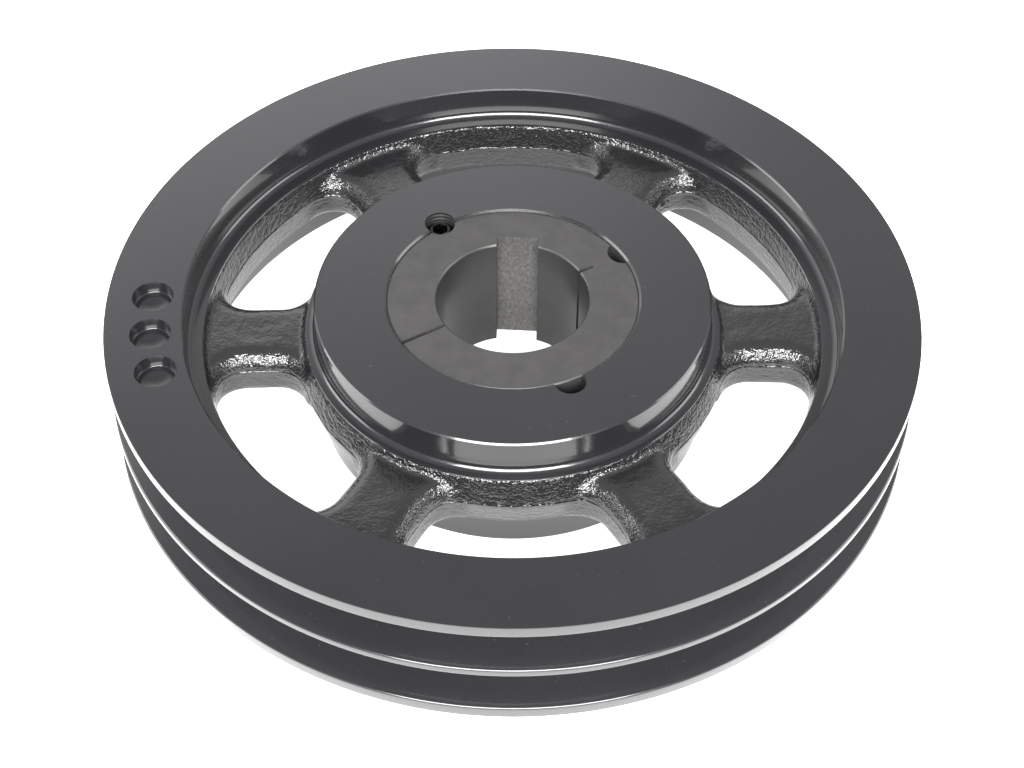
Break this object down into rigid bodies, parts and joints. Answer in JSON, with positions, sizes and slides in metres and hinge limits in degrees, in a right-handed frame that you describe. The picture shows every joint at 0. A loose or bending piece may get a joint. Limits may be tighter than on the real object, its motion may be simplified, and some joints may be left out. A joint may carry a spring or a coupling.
{
  "type": "v belt pulley",
  "caption": "Two-groove V belt pulley: spoked black-painted iron casting on a keyed, split taper bush drawn in by a hexagon socket set screw.",
  "frame": {"origin": "on the shaft axis at the level of the hub's lower face, where the pulley rests when it lies flat", "axes": "+Z along the shaft axis towards the bush's large end, +X within a degree of one arm"},
  "size_m": [0.264, 0.264, 0.0458],
  "materials": {
    "painted_casting": "black gloss paint over grey cast iron: smooth on turned faces, orange-peel on cast skin",
    "bush_iron": "matt grey phosphated iron",
    "screw_steel": "blackened steel with bright worn edges"
  },
  "bodies": {
    "casting": {"pulley_casting": "painted_casting"},
    "bush": {"taper_bush": "bush_iron"},
    "screw": {"set_screw": "screw_steel"}
  },
  "joints": [
    {"name": "bush_draw", "type": "slide", "parent": "casting", "child": "bush", "axis": [0, 0, 1], "range_m": [0, 0.052]},
    {"name": "screw_back_out", "type": "slide", "parent": "bush", "child": "screw", "axis": [0, 0, 1], "range_m": [0, 0.026]}
  ]
}
